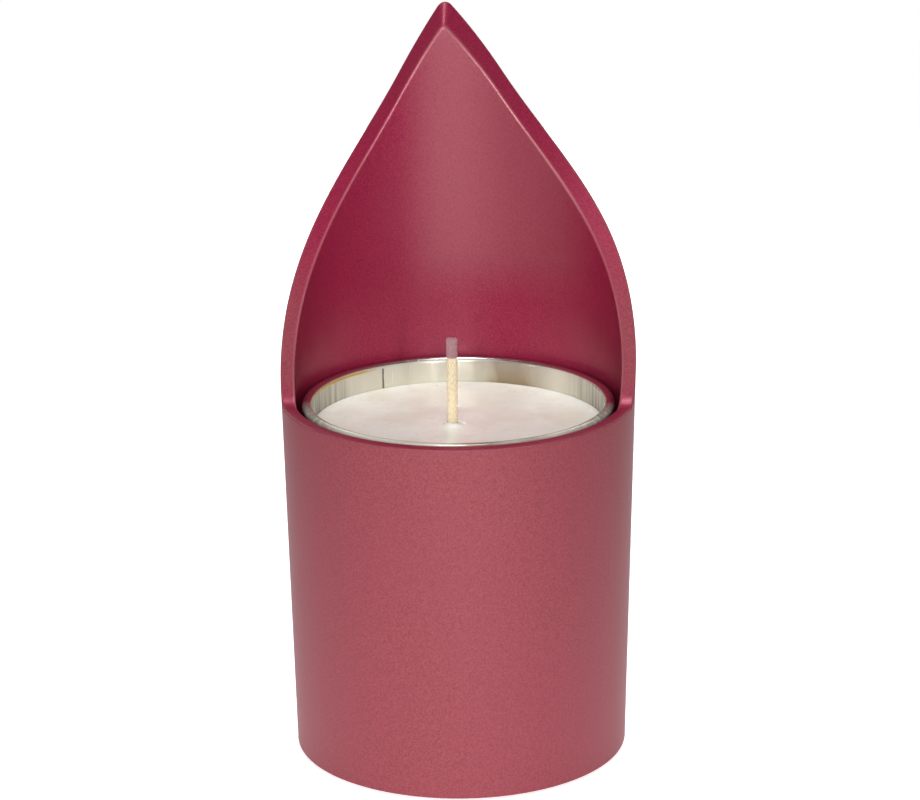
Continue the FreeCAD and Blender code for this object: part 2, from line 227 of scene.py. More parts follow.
def weigh_normals(piece):
    """Shade the flat stretches flat, and keep the bend to the small curves between them."""
    modifier = piece.modifiers.new("weighted_normals", "WEIGHTED_NORMAL")
    modifier.weight = 80


# ------------------------------------------------------------------ the holder's shape

def outer_radius(height):
    """The outside of the tapered tube."""
    rise = (height - TUBE_LOW.z) / (RIM_HEIGHT - TUBE_LOW.z)
    return BASE_RADIUS + (RIM_RADIUS - BASE_RADIUS) * rise


def flame_level(across, tip_round):
    """The flame's outline over the tube's axis: straight flanks, a blunt tip, hollow shoulders."""
    squeeze = 1 / math.hypot(1, CUT_SLOPE)
    rise = (APEX_LEVEL - SHOULDER_LEVEL) * squeeze
    left_slope = math.atan2(rise, LEFT_RUN)
    right_slope = math.atan2(rise, RIGHT_RUN)
    tip_shift = tip_round * (1 / math.cos(left_slope) - 1 / math.cos(right_slope))
    tip_shift /= math.tan(left_slope) + math.tan(right_slope)
    tip_drop = tip_shift * math.tan(right_slope) + tip_round / math.cos(right_slope)
    offset = across - APEX_PLACE
    if offset > tip_shift:
        slope, run, distance, side = right_slope, RIGHT_RUN, offset, 1
    else:
        slope, run, distance, side = left_slope, LEFT_RUN, -offset, -1
    reach = SHOULDER_ROUND * math.tan(slope / 2)
    if distance >= run + reach:
        height = 0
    elif distance > run - reach * math.cos(slope):
        height = SHOULDER_ROUND - math.sqrt(SHOULDER_ROUND ** 2 - (run + reach - distance) ** 2)
    elif distance > side * tip_shift + tip_round * math.sin(slope):
        height = rise - distance * math.tan(slope)
    else:
        height = rise - tip_drop + math.sqrt(tip_round ** 2 - (offset - tip_shift) ** 2)
    return SHOULDER_LEVEL + height / squeeze


def wall_top(angle, share):
    """Height of the wall's top at an angle from the back; share 0 is outside and 1 inside."""
    low, high, precision = 0, 2 * TUBE_HIGH.z, 1e-8
    tip_round = TIP_ROUND_OUTSIDE * (1 - share) + TIP_ROUND_INSIDE * share
    while high - low > precision:
        height = (low + high) / 2
        radius = outer_radius(height) * (1 - share) + BORE_RADIUS * share
        level = flame_level(radius * math.sin(angle), tip_round)
        cut = level + CUT_SLOPE * radius * math.cos(angle)
        if cut > height:
            low = height
        else:
            high = height
    # A smooth maximum, which stands CREASE_SOFTNESS higher where the flame meets the rim.
    gap = abs(height - RIM_HEIGHT)
    blend = max(4 * CREASE_SOFTNESS - gap, 0) ** 2 / (16 * CREASE_SOFTNESS)
    return max(height, RIM_HEIGHT) + blend


def tube_angles():
    """Angles from the back, clockwise from above, close together at the tip and the creases."""
    tip = math.degrees(math.asin(APEX_PLACE / outer_radius(TUBE_HIGH.z)))
    crease = math.degrees(math.acos((RIM_HEIGHT - SHOULDER_LEVEL) / CUT_SLOPE / RIM_RADIUS))
    half_turn_steps = 144
    tip_step, tip_spread = 0.08, 3.2
    crease_step, crease_spread = 0.25, 4.0
    close_places = (
        (tip, tip_step, tip_spread),
        (crease, crease_step, crease_spread),
        (-crease, crease_step, crease_spread),
    )
    degrees = {180 * step / half_turn_steps for step in range(-half_turn_steps, half_turn_steps)}
    for middle, fine, spread in close_places:
        degrees = {degree for degree in degrees if abs(degree - middle) > spread}
        count = round(spread / fine)
        degrees |= {middle + step * fine for step in range(-count, count + 1)}
    return [math.radians(degree) for degree in sorted(degrees)]


def edge_highlight_and_wear(point, angle, inner_top, inner_reach, outer_top):
    """A painted highlight along the flame's inner edge, partly worn lacquer, weaker higher up; and
    a painted highlight line on its tip's ridge.
    """
    across = abs(point.x - BORE_RADIUS) / INNER_ROUND
    down = abs(inner_top - point.y) / inner_reach
    rise = max(0, inner_top - SHOULDER_LEVEL) / (TUBE_HIGH.z - SHOULDER_LEVEL)
    highlight_and_wear = EDGE_HIGHLIGHT_AND_WEAR_LOW + (EDGE_HIGHLIGHT_AND_WEAR_HIGH - EDGE_HIGHLIGHT_AND_WEAR_LOW) * rise
    edge = max(0, 1 - max(across, down)) ** 2 * highlight_and_wear
    face_low, face_high = inner_top - RIDGE_MARGIN, outer_top + RIDGE_MARGIN
    on_face = SHOULDER_LEVEL < face_low < point.y < face_high
    from_ridge = abs(point.x * math.sin(angle) - APEX_PLACE) / RIDGE_WIDTH
    on_outside = outer_radius(point.y) - point.x < OUTER_ROUND
    ridge = RIDGE_HIGHLIGHT * max(0, 1 - from_ridge) if on_face and not on_outside else 0
    return min(1, max(edge, ridge))


def make_holder_tube(material):
    """The tube with its flame, as columns of points that run up outside and down inside."""
    recess_radius = DISC_HIGH.x
    nudge = math.radians(0.05)
    seat_round = 0.1 * MM
    longest, pieces = 8 * MM, 40
    vertices, marks = [], []
    angles = tube_angles()
    for angle in angles:
        across = []
        for step in range(FACE_CUTS + 1):
            share = step / FACE_CUTS
            top = wall_top(angle, share)
            across.append((outer_radius(top) * (1 - share) + BORE_RADIUS * share, top))
        climb = (wall_top(angle + nudge, 1) - wall_top(angle - nudge, 1)) / (2 * nudge)
        steepness = math.hypot(1, climb / BORE_RADIUS)
        corners = [
            (recess_radius, TUBE_LOW.z),
            (outer_radius(TUBE_LOW.z), TUBE_LOW.z),
            *across,
            (BORE_RADIUS, NARROWING_HEIGHT),
            (SEAT_RADIUS, DISC_HIGH.z),
            (recess_radius, DISC_HIGH.z),
            (recess_radius, TUBE_LOW.z),
        ]
        reaches = [
            (FOOT_ROUND, FOOT_ROUND),
            (OUTER_ROUND * steepness, OUTER_ROUND),
            *[(0, 0)] * (FACE_CUTS - 1),
            (INNER_ROUND, INNER_ROUND * steepness),
            (WALL_BLEND, WALL_BLEND),
            (seat_round, seat_round),
            (0, 0),
        ]
        column = divided(softened(corners, reaches), longest, pieces)
        inner_top, outer_top = across[-1][1], across[0][1]
        for point in column:
            vertices.append((point.x * math.sin(angle), point.x * math.cos(angle), point.y))
            reach = INNER_ROUND * steepness
            marks.append(edge_highlight_and_wear(point, angle, inner_top, reach, outer_top))
    faces = grid_faces(len(angles), len(column))
    piece = add_mesh("tube_with_flame", vertices, faces, "holder", material, marks)
    weigh_normals(piece)
    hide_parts("holder_tube")


# ------------------------------------------------------------------ the pad and the candle

def ring_angles(count, fine_at=None, fine_step=0, fine_count=0):
    """Angles evenly round a ring, closer together beside one angle."""
    even = [TURN * step / count for step in range(count)]
    if fine_at is None:
        return even
    spread = fine_step * fine_count
    far = [angle for angle in even if abs(angle - fine_at) > spread]
    near = [fine_at + fine_step * step for step in range(-fine_count, fine_count + 1)]
    return sorted(far + near)


def turned(name, section, angles, body, material, shift=None, mark=None):
    """A closed section of (radius, height) points turned about the lamp's axis.

    shift moves a point, given its angle, radius and height; mark gives its surface mark.
    """
    vertices, marks = [], []
    for angle in angles:
        for radius, height in section:
            if mark:
                marks.append(mark(angle, radius, height))
            if shift:
                radius, height = shift(angle, radius, height)
            vertices.append((radius * math.cos(angle), radius * math.sin(angle), height))
    faces = grid_faces(len(angles), len(section))
    piece = add_mesh(name, vertices, faces, body, material, marks)
    weigh_normals(piece)
    return piece


def make_felt_pad(material):
    """The pressed felt disc under the lamp, with a soft cut edge and an uneven face."""
    edge = 0.35 * MM
    tuft_size, tuft_rise, tuft_spread = 0.9 * MM, 0.05 * MM, 0.003
    radius, ring_count = PAD_HIGH.x, 24
    rings = [radius * step / ring_count for step in range(ring_count)]
    low = [(ring, 0) for ring in rings]
    high = [(ring, PAD_HIGH.z) for ring in reversed(rings)]
    corners = [low[-1], (radius, 0), (radius, PAD_HIGH.z), high[0]]
    side = softened(corners, [(edge, edge), (edge, edge)], 5)
    section = low + [tuple(point) for point in side[1:-1]] + high

    def shift(angle, ring, height):
        place = Vector((ring * math.cos(angle), ring * math.sin(angle), height))
        fuzz = noise_at(place / tuft_size)
        lift = tuft_rise * (1 + fuzz) if height < PAD_HIGH.z / 2 else 0
        return ring * (1 + tuft_spread * fuzz), height + lift

    piece = turned("felt_pad", section, ring_angles(240), "holder", material, shift)
    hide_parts("base_pad")


def make_tin_shell(material):
    """The tin's wall, with its curled rim, the hook inside the bottom seam and the side seam."""
    middle = Vector((TIN_RADIUS + CURL_RADIUS, CURL_HEIGHT))
    arc_steps = 28

    def arc(radius, start, end):
        angles = [start + (end - start) * step / arc_steps for step in range(arc_steps + 1)]
        return [middle + Vector((math.cos(turn), math.sin(turn))) * radius for turn in angles]

    outside = arc(CURL_RADIUS, math.pi, CURL_END)
    inside = arc(CURL_RADIUS - SHEET, CURL_END, math.pi)
    hook_low = TIN_LOW.z
    hook_top = hook_low + HOOK_RISE
    hook = [
        Vector((WALL_OUT, hook_low + SHEET)),
        Vector((HOOK_RADIUS - SHEET, hook_low + SHEET)),
        Vector((HOOK_RADIUS - SHEET, hook_top)),
        Vector((HOOK_RADIUS, hook_top)),
        Vector((HOOK_RADIUS, hook_low)),
        Vector((TIN_RADIUS, hook_low)),
    ]
    longest, pieces = 8 * MM, 60
    section = divided(outside + inside + hook + [outside[0]], longest, pieces)

    def groove(angle):
        return math.exp(-((angle - LAP_ANGLE) * TIN_RADIUS / GROOVE_WIDTH) ** 2)

    def shift(angle, radius, height):
        along = (angle - LAP_ANGLE) * TIN_RADIUS
        on_wall = LAP_LOW < height < CURL_HEIGHT and radius < WALL_OUT + SHEET
        if on_wall and radius > TIN_RADIUS + SHEET / 2:
            inside_lap = abs(along) < LAP_WIDTH / 2 and height < LAP_HIGH
            return radius + (SHEET if inside_lap else 0), height
        if on_wall:
            return radius + GROOVE_DEPTH * groove(angle), height
        return radius, height

    def seam(angle, radius, height):
        """1 in the groove inside the wall, along the side seam."""
        if not LAP_LOW < height < CURL_HEIGHT or radius > TIN_RADIUS + SHEET / 2:
            return 0
        return groove(angle)

    fine_step = 0.1 * MM / TIN_RADIUS
    angles = ring_angles(240, LAP_ANGLE, fine_step, 24)
    piece = turned("tin_shell", section, angles, "candle", material, shift, seam)
    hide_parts("tin_body")


def wax_height(place):
    """Height of the wax: it climbs at the wall and the wick, and dips a little round the wick."""
    from_wall = TIN_RADIUS - place.length
    from_wick = (place - WICK_PLACE).length - WICK_RADIUS
    climb = WAX_CLIMB * math.exp(-from_wall / WAX_CLIMB_REACH)
    climb += WICK_CLIMB * math.exp(-from_wick / WICK_CLIMB_REACH)
    dip = MELT_DIP * math.exp(-(from_wick / MELT_DIP_REACH) ** 2)
    ripple = sum(
        rise * noise_at(Vector((place.x, place.y, layer)) / size)
        for layer, (rise, size) in enumerate(RIPPLES)
    )
    return WAX_LEVEL + climb - dip + ripple


def make_wax(material):
    """The wax as columns of points round the wick: over its face, then down the wick and back."""
    columns, rings = 200, 64
    wall = WAX_HIGH.x
    panel = WAX_LOW.z
    vertices = []
    for angle in ring_angles(columns):
        # The rings run closer together at the wall and at the wick, where the wax climbs.
        outward = Vector((math.cos(angle), math.sin(angle)))
        near, far = WICK_PLACE + outward * WICK_RADIUS, outward * wall
        column = []
        for step in range(rings + 1):
            share = 0.5 - 0.5 * math.cos(math.pi * step / rings)
            place = far.lerp(near, share)
            column.append((place.x, place.y, wax_height(place)))
        under = [
            (WICK_RADIUS, panel + NECK_RISE),
            (NECK_RADIUS, panel + NECK_RISE),
            (NECK_RADIUS, panel + SHEET),
            (TAB_RADIUS, panel + SHEET),
            (TAB_RADIUS, panel),
        ]
        for radius, height in under:
            place = WICK_PLACE + outward * radius
            column.append((place.x, place.y, height))
        column.append((far.x, far.y, panel))
        column.append(column[0])
        vertices += column
    faces = grid_faces(columns, len(column))
    piece = add_mesh("wax_fill", vertices, faces, "candle", material)
    weigh_normals(piece)
    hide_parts("wax")


def add_strand(work, path, radius, sides=7):
    """A closed round strand along a list of points, added to a bmesh."""
    rings = []
    for index, point in enumerate(path):
        ahead = path[min(index + 1, len(path) - 1)]
        behind = path[max(index - 1, 0)]
        along = (ahead - behind).normalized()
        side = along.cross(Vector((0, 0, 1))).normalized()
        across = along.cross(side)
        ring = []
        for step in range(sides):
            turn = TURN * step / sides
            offset = side * math.cos(turn) + across * math.sin(turn)
            ring.append(work.verts.new(point + offset * radius))
        rings.append(ring)
    for first, second in zip(rings, rings[1:]):
        for step in range(sides):
            following = (step + 1) % sides
            work.faces.new((first[step], first[following], second[following], second[step]))
    work.faces.new(rings[0])
    work.faces.new(rings[-1])


def make_wick(material):
    """The braid: strands wound both ways round the core, each over and under the others."""
    strands, pitch = 8, 11.0 * MM
    strand_radius, weave = 0.29 * MM, 0.06 * MM
    middle = WICK_RADIUS - strand_radius - weave
    winding = TURN / pitch
    steps = 340
    work = bmesh.new()
    for hand in (1, -1):
        for strand in range(strands):
            path = []
            top = WICK_HIGH.z - random.uniform(0.05, 0.25) * MM
            for step in range(steps + 1):
                height = WICK_LOW.z + (top - WICK_LOW.z) * step / steps
                turn = hand * winding * height + TURN * strand / strands
                over = hand * math.cos(strands * winding * height)
                radius = middle + weave * over
                path.append(Vector((
                    WICK_PLACE.x + radius * math.cos(turn), radius * math.sin(turn), height
                )))
            add_strand(work, path, strand_radius)
    mesh = bpy.data.meshes.new("wick_strands")
    piece = finish_piece("wick_strands", mesh, work, "candle", material)
    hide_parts("wick_braid")


def finish_cad_node(node, material, edge_round):
    """Give a CAD node that stays its material, and soften its edges."""
    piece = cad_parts[node]
    piece.data.materials.clear()
    piece.data.materials.append(material)
    modifier = piece.modifiers.new("soft_edges", "BEVEL")
    modifier.width = edge_round
    modifier.segments = 3
    modifier.limit_method = "ANGLE"
    modifier.angle_limit = math.radians(40)
    modifier.harden_normals = True


# ------------------------------------------------------------------ material helpers

def new_material(name):
    """A material, its node tree and its shader."""
    material = bpy.data.materials.new(name)
    material.use_nodes = True
    return material, material.node_tree, material.node_tree.nodes["Principled BSDF"]


def add_node(tree, kind, **inputs):
    """A node with its inputs set by name, or linked when the value is another node's output."""
    node = tree.nodes.new(kind)
    for name, value in inputs.items():
        socket = node.inputs[name.replace("_", " ").title()]
        if isinstance(value, bpy.types.NodeSocket):
            tree.links.new(value, socket)
        else:
            socket.default_value = value
    return node


def set_shader(shader, **inputs):
    """Set the shader's own sockets; a socket's name is the argument's, in capitalised words."""
    for name, value in inputs.items():
        title = name.replace("_", " ").title().replace("Ior", "IOR")
        shader.inputs[title].default_value = value


def object_place(tree):
    """The place on the object, in metres."""
    return tree.nodes.new("ShaderNodeTexCoord").outputs["Object"]


def noise(tree, place, scale, detail=2):
    """Soft noise from 0 to 1, with about scale patches to the metre."""
    node = add_node(tree, "ShaderNodeTexNoise", vector=place, scale=scale, detail=detail)
    return node.outputs["Fac"]


def remap(tree, value, low, high, new_low, new_high, held=True):
    """The value's range from low to high moved to new limits, and held there unless told not."""
    node = tree.nodes.new("ShaderNodeMapRange")
    node.clamp = held
    tree.links.new(value, node.inputs["Value"])
    limits = {"From Min": low, "From Max": high, "To Min": new_low, "To Max": new_high}
    for name, number in limits.items():
        node.inputs[name].default_value = number
    return node.outputs["Result"]


def blend_colours(tree, share, first, second):
    """The first colour where the share is 0, and the second where it is 1."""
    node = tree.nodes.new("ShaderNodeMix")
    node.data_type = "RGBA"
    for name, value in (("Factor_Float", share), ("A_Color", first), ("B_Color", second)):
        socket = next(item for item in node.inputs if item.identifier == name)
        if isinstance(value, bpy.types.NodeSocket):
            tree.links.new(value, socket)
        else:
            socket.default_value = value
    return next(item for item in node.outputs if item.identifier == "Result_Color")


def scaled(tree, place, scale):
    """The place stretched along the axes, so that a pattern runs long where the scale is small."""
    node = tree.nodes.new("ShaderNodeVectorMath")
    node.operation = "MULTIPLY"
    tree.links.new(place, node.inputs[0])
    node.inputs[1].default_value = scale
    return node.outputs["Vector"]


def calculate(tree, operation, *values):
    """The result of one sum on other nodes' outputs."""
    node = tree.nodes.new("ShaderNodeMath")
    node.operation = operation
    for value, socket in zip(values, node.inputs):
        tree.links.new(value, socket)
    return node.outputs["Value"]


def multiply(tree, first, second):
    """The product of two shares: 1 only where both are 1."""
    return calculate(tree, "MULTIPLY", first, second)


def length_across(tree, parts):
    """Distance from the lamp's axis, from a place's separate X and Y."""
    level = add_node(tree, "ShaderNodeCombineXYZ", x=parts.outputs["X"], y=parts.outputs["Y"])
    node = tree.nodes.new("ShaderNodeVectorMath")
    node.operation = "LENGTH"
    tree.links.new(level.outputs["Vector"], node.inputs[0])
    return node.outputs["Value"]


def surface_mark(tree):
    """The share that the mesh carries for each vertex."""
    node = tree.nodes.new("ShaderNodeAttribute")
    node.attribute_name = SURFACE_MARK
    return node.outputs["Fac"]


def bump(tree, height, distance, strength):
    """Surface relief, as a normal, from a height pattern."""
    node = tree.nodes.new("ShaderNodeBump")
    node.inputs["Strength"].default_value = strength
    node.inputs["Distance"].default_value = distance
    tree.links.new(height, node.inputs["Height"])
    return node.outputs["Normal"]


def srgb(red, green, blue):
    """A colour given as 0 to 255 on a screen, as the linear values that shaders use."""
    def linear(value):
        value /= 255
        return value / 12.92 if value <= 0.04045 else ((value + 0.055) / 1.055) ** 2.4
    return (linear(red), linear(green), linear(blue), 1)


# ------------------------------------------------------------------ materials

def wall_depth(tree, parts):
    """Distance in from the outside of the tapered tube."""
    height = parts.outputs["Z"]
    outside = remap(tree, height, 0, RIM_HEIGHT, BASE_RADIUS, RIM_RADIUS, held=False)
    return calculate(tree, "SUBTRACT", outside, length_across(tree, parts))


def off_bore(tree, parts, on_bore, beyond):
    """One value on the bore of the tube, and another on what lies further out."""
    radius = length_across(tree, parts)
    start, end = BORE_RADIUS + 0.2 * MM, BORE_RADIUS + 0.4 * MM
    return remap(tree, radius, start, end, on_bore, beyond)


def painted_sheen_field_share(tree, parts):
    """A painted sheen on the inside of the wall, behind the candle's flame, standing in for a
    reflection.
    """
    high = remap(tree, parts.outputs["Z"], SHEEN_FIELD_LOW, SHEEN_FIELD_HIGH, 0, 0.28)
    left = remap(tree, parts.outputs["X"], SHEEN_FIELD_LEFT, SHEEN_FIELD_LEFT + SHEEN_FIELD_SIDE, 0, 1)
    right = remap(tree, parts.outputs["X"], SHEEN_FIELD_RIGHT - SHEEN_FIELD_SIDE, SHEEN_FIELD_RIGHT, 1, 0)
    wall = off_bore(tree, parts, 1, 0)
    return multiply(tree, multiply(tree, high, wall), multiply(tree, left, right))


def painted_sheen_band_share(tree, parts):
    """The cut face just above the creases, where a painted sheen makes the lacquer nearly as pale
    as outside.
    """
    face = off_bore(tree, parts, 0, 1)
    low = remap(tree, parts.outputs["Z"], SHEEN_BAND_LOW, SHEEN_BAND_FULL, 0, 0.9)
    high = remap(tree, parts.outputs["Z"], SHEEN_BAND_FADING, SHEEN_BAND_END, 1, 0)
    return multiply(tree, face, multiply(tree, low, high))


def red_metal():
    """Satin metallic lacquer: fine grain, faint clouds, deeper inside, a painted sheen on the
    inner wall and low on the cut face, and pale edges that are painted highlight and partly worn
    lacquer.
    """
    material, tree, shader = new_material("red_metal")
    place = object_place(tree)
    parts = add_node(tree, "ShaderNodeSeparateXYZ", vector=place)
    grain = remap(tree, noise(tree, place, LACQUER_GRAIN), 0.3, 0.7, 0, 1)
    clouds = noise(tree, place, 40, 3)
    inside = remap(tree, wall_depth(tree, parts), DEEP_TONE_DEPTH, 3 * DEEP_TONE_DEPTH, 0, 1)
    outer = blend_colours(tree, grain, srgb(118, 44, 55), srgb(146, 64, 73))
    inner = blend_colours(tree, grain, srgb(128, 20, 52), srgb(156, 40, 72))
    # painted sheen: low on the cut face the deep inner tone gives way to the paler outer one
    deep_less_sheen = calculate(tree, "SUBTRACT", inside, painted_sheen_band_share(tree, parts))
    toned = blend_colours(tree, deep_less_sheen, outer, inner)
    # painted sheen: the inner lacquer turns pale here, in place of a reflection
    with_painted_sheen = blend_colours(tree, painted_sheen_field_share(tree, parts), toned, srgb(140, 96, 92))
    cloudy = remap(tree, clouds, 0.4, 0.75, 0.0, 0.3)
    lacquer = blend_colours(tree, cloudy, with_painted_sheen, srgb(136, 52, 68))
    # painted highlight, partly worn lacquer: pale along the inner edge and the tip's ridge
    highlight_and_wear_share = multiply(tree, surface_mark(tree), remap(tree, clouds, 0.3, 0.7, 0.25, 0.65))
    colour = blend_colours(tree, highlight_and_wear_share, lacquer, srgb(206, 150, 150))
    tree.links.new(colour, shader.inputs["Base Color"])
    rough = calculate(
        tree, "ADD", remap(tree, inside, 0, 1, 0.5, 0.28), remap(tree, grain, 0, 1, 0, 0.12)
    )
    tree.links.new(rough, shader.inputs["Roughness"])
    tree.links.new(bump(tree, grain, 0.02 * MM, 0.3), shader.inputs["Normal"])
    set_shader(shader, metallic=0.15, specular_ior_level=0.4)
    return material


def tinplate():
    """Bright tinplate: streaks, fine scuffs, a brassy lip, a dark seam, wax on the inside with
    painted tan and grey-green reflections, and a cream film over the rim's front.
    """
    material, tree, shader = new_material("tinplate")
    place = object_place(tree)
    parts = add_node(tree, "ShaderNodeSeparateXYZ", vector=place)
    streaks = noise(tree, scaled(tree, place, (1, 1, 0.04)), 1500, 3)
    spangle = noise(tree, place, 180, 4)
    plain = blend_colours(tree, spangle, (0.55, 0.53, 0.50, 1), (0.80, 0.78, 0.74, 1))
    film = cream_film_share(tree, parts)
    coated = blend_colours(tree, film, plain, wax_film_and_reflection_colour(tree, place, parts))
    tinted = blend_colours(tree, lip_share(tree, parts), coated, (0.48, 0.35, 0.07, 1))
    colour = blend_colours(tree, surface_mark(tree), tinted, srgb(70, 58, 52))
    tree.links.new(colour, shader.inputs["Base Color"])
    tree.links.new(remap(tree, film, 0, 1, 1.0, 0.0), shader.inputs["Metallic"])
    tree.links.new(remap(tree, streaks, 0.2, 0.8, 0.12, 0.3), shader.inputs["Roughness"])
    tree.links.new(bump(tree, streaks, 0.01 * MM, 0.25), shader.inputs["Normal"])
    return material


def wax_film_and_reflection_colour(tree, place, parts):
    """Cream film with a painted tan reflection behind the wick, and thin painted grey-green
    reflections at both sides.
    """
    across = parts.outputs["X"]
    film_and_reflection_patches = noise(tree, scaled(tree, place, (1, 1, 0.5)), 90, 3)
    tan_reflection_start = remap(tree, across, TAN_REFLECTION_LEFT, TAN_REFLECTION_LEFT + TAN_REFLECTION_LEFT_FADE, 0, 1)
    tan_reflection_end = remap(tree, across, TAN_REFLECTION_RIGHT - TAN_REFLECTION_RIGHT_FADE, TAN_REFLECTION_RIGHT, 1, 0)
    tan_reflection_share = multiply(tree, multiply(tree, tan_reflection_start, tan_reflection_end), remap(tree, film_and_reflection_patches, 0.3, 0.5, 0, 1))
    sideways = calculate(tree, "ABSOLUTE", across)
    side = remap(tree, sideways, 0.7 * TIN_RADIUS, 0.96 * TIN_RADIUS, 0, 1)
    reflection_streaks = noise(tree, scaled(tree, place, (1, 1, 0.03)), 900, 3)
    streak_reflection_share = multiply(tree, side, remap(tree, reflection_streaks, 0.35, 0.6, 0.2, 1))
    cream = blend_colours(tree, film_and_reflection_patches, srgb(190, 184, 162), srgb(216, 214, 198))
    # painted reflections: tan behind the wick, grey-green streaks at both sides
    tan = blend_colours(tree, tan_reflection_share, cream, srgb(128, 108, 76))
    return blend_colours(tree, streak_reflection_share, tan, srgb(118, 118, 98))


def cream_film_share(tree, parts):
    """How much cream film covers the tin: wax inside, less towards the rim, and a cream film
    painted over the rim's front in place of its metal reflection.
    """
    inner = remap(tree, length_across(tree, parts), TIN_RADIUS + 0.1 * MM, WALL_OUT, 1, 0)
    height = remap(tree, parts.outputs["Z"], WAX_LEVEL, CURL_HEIGHT - 0.3 * MM, 1.0, 0.7)
    rim_low = CURL_HEIGHT - CURL_RADIUS
    rim = remap(tree, parts.outputs["Z"], rim_low - 0.2 * MM, rim_low, 0, 1)
    # cream film painted over the front of the rim, where the metal's reflection is taken away
    front = remap(tree, parts.outputs["Y"], RIM_CREAM_FRONT, RIM_CREAM_BACK, 0.8, 0)
    return calculate(
        tree, "MAXIMUM", multiply(tree, inner, height), multiply(tree, rim, front)
    )


def lip_share(tree, parts):
    """1 on the brass-yellow line, at one side of where the curl leaves the inner wall."""
    start = CURL_HEIGHT - 0.1 * MM
    rise = remap(tree, parts.outputs["Z"], start, start + 0.1 * MM, 0, 1)
    end = start + LIP_HEIGHT
    fall = remap(tree, parts.outputs["Z"], end - 0.15 * MM, end, 1, 0)
    radius = length_across(tree, parts)
    inner = remap(tree, radius, TIN_RADIUS + 0.35 * MM, TIN_RADIUS + 0.45 * MM, 1, 0)
    side = remap(tree, parts.outputs["X"], LIP_LEFT, LIP_RIGHT, 1, 0)
    return multiply(tree, multiply(tree, rise, fall), multiply(tree, inner, side))


def wax_finish():
    """Cream paraffin: soft depth, a glossy skin, milky clouds, grey veins and a few specks."""
    material, tree, shader = new_material("wax")
    place = object_place(tree)
    clouds = noise(tree, place, 90, 3)
    mottle = noise(tree, place, 500, 4)
    milky = remap(tree, clouds, 0.38, 0.62, 0, 1)
    cream = blend_colours(tree, milky, srgb(240, 238, 224), srgb(250, 252, 242))
    veined = remap(tree, mottle, 0.56, 0.75, 0.0, 0.18)
    toned = blend_colours(tree, veined, cream, srgb(196, 190, 166))
    specks = noise(tree, place, 1400, 1)
    spotted = remap(tree, specks, 0.74, 0.78, 0.0, 0.5)
    colour = blend_colours(tree, spotted, toned, srgb(130, 116, 92))
    tree.links.new(colour, shader.inputs["Base Color"])
    tree.links.new(remap(tree, clouds, 0.3, 0.7, 0.08, 0.16), shader.inputs["Roughness"])
    tree.links.new(bump(tree, mottle, 0.01 * MM, 0.15), shader.inputs["Normal"])
    shader.inputs["Subsurface Radius"].default_value = (1.0, 0.95, 0.85)
    set_shader(
        shader, subsurface_weight=0.3, subsurface_scale=1.5 * MM, ior=1.45,
        specular_ior_level=0.25, coat_weight=0.15, coat_roughness=0.03,
    )
    return material


def wick_cotton():
    """Waxed cotton: cream strands with a fine twist, and a dyed stretch at the top."""
    material, tree, shader = new_material("wick_cotton")
    place = object_place(tree)
    fibres = noise(tree, scaled(tree, place, (1, 1, 0.3)), 6000, 3)
    dye_fade = 0.3 * MM
    cream = blend_colours(tree, fibres, srgb(222, 200, 160), srgb(242, 228, 200))
    dyed = blend_colours(tree, fibres, srgb(150, 104, 112), srgb(180, 136, 140))
    parts = add_node(tree, "ShaderNodeSeparateXYZ", vector=place)
    start = WICK_HIGH.z - DYED_LENGTH
    share = remap(tree, parts.outputs["Z"], start, start + dye_fade, 0, 1)
    colour = blend_colours(tree, share, cream, dyed)
    tree.links.new(colour, shader.inputs["Base Color"])
    tree.links.new(remap(tree, fibres, 0.2, 0.8, 0.4, 0.7), shader.inputs["Roughness"])
    tree.links.new(bump(tree, fibres, 0.03 * MM, 0.5), shader.inputs["Normal"])
    set_shader(shader, sheen_weight=0.2, sheen_roughness=0.5)
    return material


def felt():
    """Dark pressed felt: tangled fibres at two sizes, with a dull sheen."""
    material, tree, shader = new_material("pad_felt")
    place = object_place(tree)
    fibres = noise(tree, place, 2600, 5)
    tufts = noise(tree, place, 420, 3)
    dark = blend_colours(tree, fibres, srgb(26, 26, 30), srgb(74, 74, 80))
    colour = blend_colours(tree, remap(tree, tufts, 0.4, 0.7, 0, 0.4), dark, srgb(52, 52, 58))
    tree.links.new(colour, shader.inputs["Base Color"])
    tree.links.new(bump(tree, fibres, 0.15 * MM, 0.8), shader.inputs["Normal"])
    set_shader(shader, roughness=0.95, sheen_weight=0.6, sheen_roughness=0.6)
    return material


def grained_finish(name, dark, light, metallic, roughness, scale, stretch=(1, 1, 1)):
    """A plain material with grain in its colour, gloss and surface."""
    material, tree, shader = new_material(name)
    place = scaled(tree, object_place(tree), stretch)
    grain = noise(tree, place, scale, 4)
    tree.links.new(blend_colours(tree, grain, dark, light), shader.inputs["Base Color"])
    rough = remap(tree, grain, 0.2, 0.8, roughness * 0.8, roughness * 1.2)
    tree.links.new(rough, shader.inputs["Roughness"])
    tree.links.new(bump(tree, grain, 0.02 * MM, 0.3), shader.inputs["Normal"])
    set_shader(shader, metallic=metallic)
    return material


# ------------------------------------------------------------------ stage

def make_floor():
    """A plain pale floor that glows a little, so that the lamp throws hardly any shadow."""
    side, front, back = 0.22, -0.5, 0.6
    corners = [(-side, front, 0), (side, front, 0), (side, back, 0), (-side, back, 0)]
    mesh = bpy.data.meshes.new("floor")
    mesh.from_pydata(corners, [], [(0, 1, 2, 3)])
    floor = add_object("floor", mesh)
    material, _, shader = new_material("pale_floor")
    set_shader(
        shader, base_color=(0.9, 0.9, 0.9, 1), roughness=0.9,
        emission_color=(1, 1, 1, 1), emission_strength=FLOOR_GLOW,
    )
    mesh.materials.append(material)


